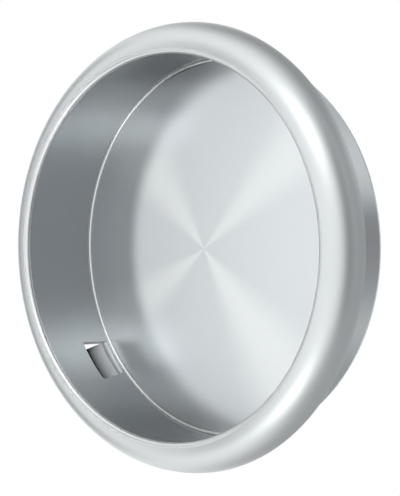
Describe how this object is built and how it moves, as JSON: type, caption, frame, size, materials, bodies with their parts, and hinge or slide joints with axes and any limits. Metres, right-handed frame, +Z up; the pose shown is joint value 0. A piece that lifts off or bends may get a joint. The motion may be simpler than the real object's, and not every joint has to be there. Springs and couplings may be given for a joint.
{
  "type": "recessed pull handle",
  "caption": "Round recessed pull: a drawn sheet-metal cup with a rounded hollow flange, a flat spun floor and a barb bent out of its wall to grip a bored hole.",
  "frame": {"origin": "on the cup's axis, in the plane where the flange's free edge rests on the door", "axes": "+Y along the cup's axis into the door, so the mouth faces -Y; +Z is up"},
  "size_m": [0.054, 0.0118, 0.054],
  "materials": {
    "satin_steel": "satin, with a spun floor"
  },
  "bodies": {
    "root": {"cup_pull": "satin_steel"}
  },
  "joints": []
}
